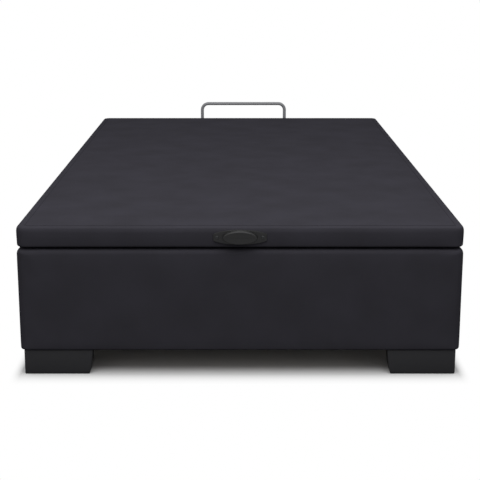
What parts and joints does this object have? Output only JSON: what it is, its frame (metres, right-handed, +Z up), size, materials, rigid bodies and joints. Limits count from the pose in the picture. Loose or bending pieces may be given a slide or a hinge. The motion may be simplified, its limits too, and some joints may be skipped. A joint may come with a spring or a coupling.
{
  "type": "storage divan base",
  "caption": "Upholstered storage bed base with a lid hinged at the head end on gas struts, a pull cup, a mattress bar and block feet.",
  "frame": {"origin": "centre of the overall box on the floor, under the feet", "axes": "+Z up, +Y from the foot end with the pull cup to the head end with the hinges, +X to the right seen from the foot end"},
  "size_m": [1.05, 1.929, 0.421],
  "materials": {
    "upholstery": "smooth dark charcoal upholstery fabric",
    "foam": "cut polyurethane foam",
    "chipboard": "raw chipboard",
    "pine": "planed softwood",
    "hardboard": "smooth hardboard",
    "foot_plastic": "moulded, fine texture",
    "handle_plastic": "moulded, satin",
    "chromed_steel": "bright",
    "coated_steel": "grey powder coat",
    "zinc_steel": "zinc plated",
    "black_steel": "satin black paint",
    "rubber": "matte"
  },
  "bodies": {
    "base": {"foot_end_cover": "upholstery", "head_end_cover": "upholstery", "left_side_cover": "upholstery", "right_side_cover": "upholstery", "foot_end_board": "chipboard", "head_end_board": "chipboard", "left_side_board": "chipboard", "right_side_board": "chipboard", "floor_cleat_front": "pine", "floor_cleat_rear": "pine", "floor_cleat_left": "pine", "floor_cleat_right": "pine", "floor_cross_rail": "pine", "floor_panel_front": "hardboard", "floor_panel_rear": "hardboard", "corner_plate_front_left": "zinc_steel", "corner_plate_front_right": "zinc_steel", "corner_plate_rear_left": "zinc_steel", "corner_plate_rear_right": "zinc_steel", "foot_front_left": "foot_plastic", "foot_front_right": "foot_plastic", "foot_rear_left": "foot_plastic", "foot_rear_right": "foot_plastic", "lid_buffer_left": "rubber", "lid_buffer_right": "rubber", "hinge_wall_leaf_left": "zinc_steel", "hinge_wall_leaf_middle": "zinc_steel", "hinge_wall_leaf_right": "zinc_steel", "hinge_pin_left": "zinc_steel", "hinge_pin_middle": "zinc_steel", "hinge_pin_right": "zinc_steel", "strut_wall_bracket_left": "black_steel", "strut_wall_bracket_right": "black_steel"},
    "lid": {"lid_rail_left": "pine", "lid_rail_right": "pine", "lid_rail_front": "pine", "lid_rail_rear": "pine", "lid_cross_rail_1": "pine", "lid_cross_rail_2": "pine", "lid_cross_rail_3": "pine", "lid_deck": "hardboard", "lid_pad": "foam", "lid_top_cover": "upholstery", "lid_band": "upholstery", "handle": "handle_plastic", "handle_screw_left": "black_steel", "handle_screw_right": "black_steel", "mattress_bar": "coated_steel", "bar_strap_left": "zinc_steel", "bar_strap_right": "zinc_steel", "hinge_lid_leaf_left": "zinc_steel", "hinge_lid_leaf_middle": "zinc_steel", "hinge_lid_leaf_right": "zinc_steel", "strut_lid_bracket_left": "black_steel", "strut_lid_bracket_right": "black_steel"},
    "strut_tube_left": {"strut_tube_left": "black_steel"},
    "strut_tube_right": {"strut_tube_right": "black_steel"},
    "strut_rod_left": {"strut_rod_left": "chromed_steel"},
    "strut_rod_right": {"strut_rod_right": "chromed_steel"}
  },
  "joints": [
    {"name": "lid_hinge", "type": "hinge", "parent": "base", "child": "lid", "pos_m": [0, 0.95085, 0.31], "axis": [-1, 0, 0], "range_deg": [0, 40]},
    {"name": "strut_tube_left_pivot", "type": "hinge", "parent": "base", "child": "strut_tube_left", "pos_m": [-0.482, 0.80535, 0.1067], "axis": [-1, 0, 0], "range_deg": [0, 20]},
    {"name": "strut_tube_right_pivot", "type": "hinge", "parent": "base", "child": "strut_tube_right", "pos_m": [0.482, 0.80535, 0.1067], "axis": [-1, 0, 0], "range_deg": [0, 20]},
    {"name": "strut_rod_left_pivot", "type": "hinge", "parent": "lid", "child": "strut_rod_left", "pos_m": [-0.482, 0.7021, 0.285], "axis": [-1, 0, 0], "range_deg": [-20, 0]},
    {"name": "strut_rod_right_pivot", "type": "hinge", "parent": "lid", "child": "strut_rod_right", "pos_m": [0.482, 0.7021, 0.285], "axis": [-1, 0, 0], "range_deg": [-20, 0]}
  ],
  "couplings": [
    {"joint": "strut_tube_left_pivot", "follows": "lid_hinge", "ratio": 0.5},
    {"joint": "strut_tube_right_pivot", "follows": "lid_hinge", "ratio": 0.5},
    {"joint": "strut_rod_left_pivot", "follows": "lid_hinge", "ratio": -0.5},
    {"joint": "strut_rod_right_pivot", "follows": "lid_hinge", "ratio": -0.5}
  ]
}
